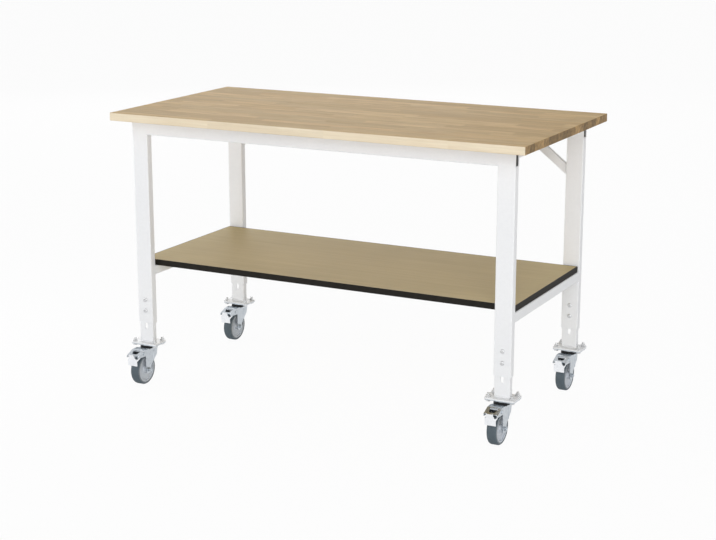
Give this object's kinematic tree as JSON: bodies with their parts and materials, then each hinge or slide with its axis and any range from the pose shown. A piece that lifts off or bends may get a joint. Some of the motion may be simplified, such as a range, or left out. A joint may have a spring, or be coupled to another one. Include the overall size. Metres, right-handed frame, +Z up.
{
  "type": "mobile work table",
  "caption": "Rectangular work table with a glued wood top, a steel frame on height-adjustable legs, a low shelf and braked swivel casters.",
  "frame": {"origin": "on the floor under the middle of the overall box, with all casters trailing to the front", "axes": "+X along the table's length to the right, +Y to the rear (the side with the braces), +Z up"},
  "size_m": [1.4, 0.7376, 0.89],
  "materials": {
    "beech": "oiled glued staves",
    "shelf_laminate": "matt laminate",
    "white_paint": "powder coat",
    "black_plastic": "moulded",
    "black_edging": "satin edging",
    "zinc": "zinc plated",
    "bright_zinc": "bright zinc",
    "grey_plastic": "moulded",
    "grey_rubber": "non-marking tread"
  },
  "bodies": {
    "frame": {"worktop": "beech", "front_rail": "white_paint", "rear_rail": "white_paint", "rail_end_caps": "black_plastic", "shelf_board": "shelf_laminate", "shelf_edge_band": "black_edging", "frame_bolts": "zinc", "leg_clamp_bars": "zinc", "worktop_screws": "zinc", "shelf_screws": "zinc", "left_upper_crossbar": "white_paint", "right_upper_crossbar": "white_paint", "left_lower_crossbar": "white_paint", "right_lower_crossbar": "white_paint", "left_rear_brace": "white_paint", "right_rear_brace": "white_paint", "front_left_leg_tube": "white_paint", "front_right_leg_tube": "white_paint", "rear_left_leg_tube": "white_paint", "rear_right_leg_tube": "white_paint"},
    "front_left_leg": {"front_left_inner_leg": "white_paint", "front_left_caster_plate": "zinc", "front_left_caster_bolts": "zinc", "front_left_king_pin": "zinc"},
    "front_left_fork": {"front_left_caster_fork": "zinc", "front_left_swivel_bearing": "black_plastic", "front_left_caster_pins": "zinc"},
    "front_left_wheel": {"front_left_wheel_hub": "grey_plastic", "front_left_wheel_tread": "grey_rubber"},
    "front_left_pedal": {"front_left_brake_pedal": "bright_zinc"},
    "front_right_leg": {"front_right_inner_leg": "white_paint", "front_right_caster_plate": "zinc", "front_right_caster_bolts": "zinc", "front_right_king_pin": "zinc"},
    "front_right_fork": {"front_right_caster_fork": "zinc", "front_right_swivel_bearing": "black_plastic", "front_right_caster_pins": "zinc"},
    "front_right_wheel": {"front_right_wheel_hub": "grey_plastic", "front_right_wheel_tread": "grey_rubber"},
    "front_right_pedal": {"front_right_brake_pedal": "bright_zinc"},
    "rear_left_leg": {"rear_left_inner_leg": "white_paint", "rear_left_caster_plate": "zinc", "rear_left_caster_bolts": "zinc", "rear_left_king_pin": "zinc"},
    "rear_left_fork": {"rear_left_caster_fork": "zinc", "rear_left_swivel_bearing": "black_plastic", "rear_left_caster_pins": "zinc"},
    "rear_left_wheel": {"rear_left_wheel_hub": "grey_plastic", "rear_left_wheel_tread": "grey_rubber"},
    "rear_left_pedal": {"rear_left_brake_pedal": "bright_zinc"},
    "rear_right_leg": {"rear_right_inner_leg": "white_paint", "rear_right_caster_plate": "zinc", "rear_right_caster_bolts": "zinc", "rear_right_king_pin": "zinc"},
    "rear_right_fork": {"rear_right_caster_fork": "zinc", "rear_right_swivel_bearing": "black_plastic", "rear_right_caster_pins": "zinc"},
    "rear_right_wheel": {"rear_right_wheel_hub": "grey_plastic", "rear_right_wheel_tread": "grey_rubber"},
    "rear_right_pedal": {"rear_right_brake_pedal": "bright_zinc"}
  },
  "joints": [
    {"name": "front_left_height", "type": "slide", "parent": "frame", "child": "front_left_leg", "axis": [0, 0, -1], "range_m": [-0.05, 0.12]},
    {"name": "front_left_swivel", "type": "hinge", "parent": "front_left_leg", "child": "front_left_fork", "pos_m": [-0.6245, -0.26575, 0.128], "axis": [0, 0, 1], "continuous": true},
    {"name": "front_left_roll", "type": "hinge", "parent": "front_left_fork", "child": "front_left_wheel", "pos_m": [-0.6245, -0.30375, 0.05], "axis": [1, 0, 0], "continuous": true},
    {"name": "front_left_brake", "type": "hinge", "parent": "front_left_fork", "child": "front_left_pedal", "pos_m": [-0.6245, -0.32575, 0.108], "axis": [1, 0, 0], "range_deg": [0, 11]},
    {"name": "front_right_height", "type": "slide", "parent": "frame", "child": "front_right_leg", "axis": [0, 0, -1], "range_m": [-0.05, 0.12]},
    {"name": "front_right_swivel", "type": "hinge", "parent": "front_right_leg", "child": "front_right_fork", "pos_m": [0.6245, -0.26575, 0.128], "axis": [0, 0, 1], "continuous": true},
    {"name": "front_right_roll", "type": "hinge", "parent": "front_right_fork", "child": "front_right_wheel", "pos_m": [0.6245, -0.30375, 0.05], "axis": [1, 0, 0], "continuous": true},
    {"name": "front_right_brake", "type": "hinge", "parent": "front_right_fork", "child": "front_right_pedal", "pos_m": [0.6245, -0.32575, 0.108], "axis": [1, 0, 0], "range_deg": [0, 11]},
    {"name": "rear_left_height", "type": "slide", "parent": "frame", "child": "rear_left_leg", "axis": [0, 0, -1], "range_m": [-0.05, 0.12]},
    {"name": "rear_left_swivel", "type": "hinge", "parent": "rear_left_leg", "child": "rear_left_fork", "pos_m": [-0.6245, 0.30325, 0.128], "axis": [0, 0, 1], "continuous": true},
    {"name": "rear_left_roll", "type": "hinge", "parent": "rear_left_fork", "child": "rear_left_wheel", "pos_m": [-0.6245, 0.26525, 0.05], "axis": [1, 0, 0], "continuous": true},
    {"name": "rear_left_brake", "type": "hinge", "parent": "rear_left_fork", "child": "rear_left_pedal", "pos_m": [-0.6245, 0.24325, 0.108], "axis": [1, 0, 0], "range_deg": [0, 11]},
    {"name": "rear_right_height", "type": "slide", "parent": "frame", "child": "rear_right_leg", "axis": [0, 0, -1], "range_m": [-0.05, 0.12]},
    {"name": "rear_right_swivel", "type": "hinge", "parent": "rear_right_leg", "child": "rear_right_fork", "pos_m": [0.6245, 0.30325, 0.128], "axis": [0, 0, 1], "continuous": true},
    {"name": "rear_right_roll", "type": "hinge", "parent": "rear_right_fork", "child": "rear_right_wheel", "pos_m": [0.6245, 0.26525, 0.05], "axis": [1, 0, 0], "continuous": true},
    {"name": "rear_right_brake", "type": "hinge", "parent": "rear_right_fork", "child": "rear_right_pedal", "pos_m": [0.6245, 0.24325, 0.108], "axis": [1, 0, 0], "range_deg": [0, 11]}
  ]
}
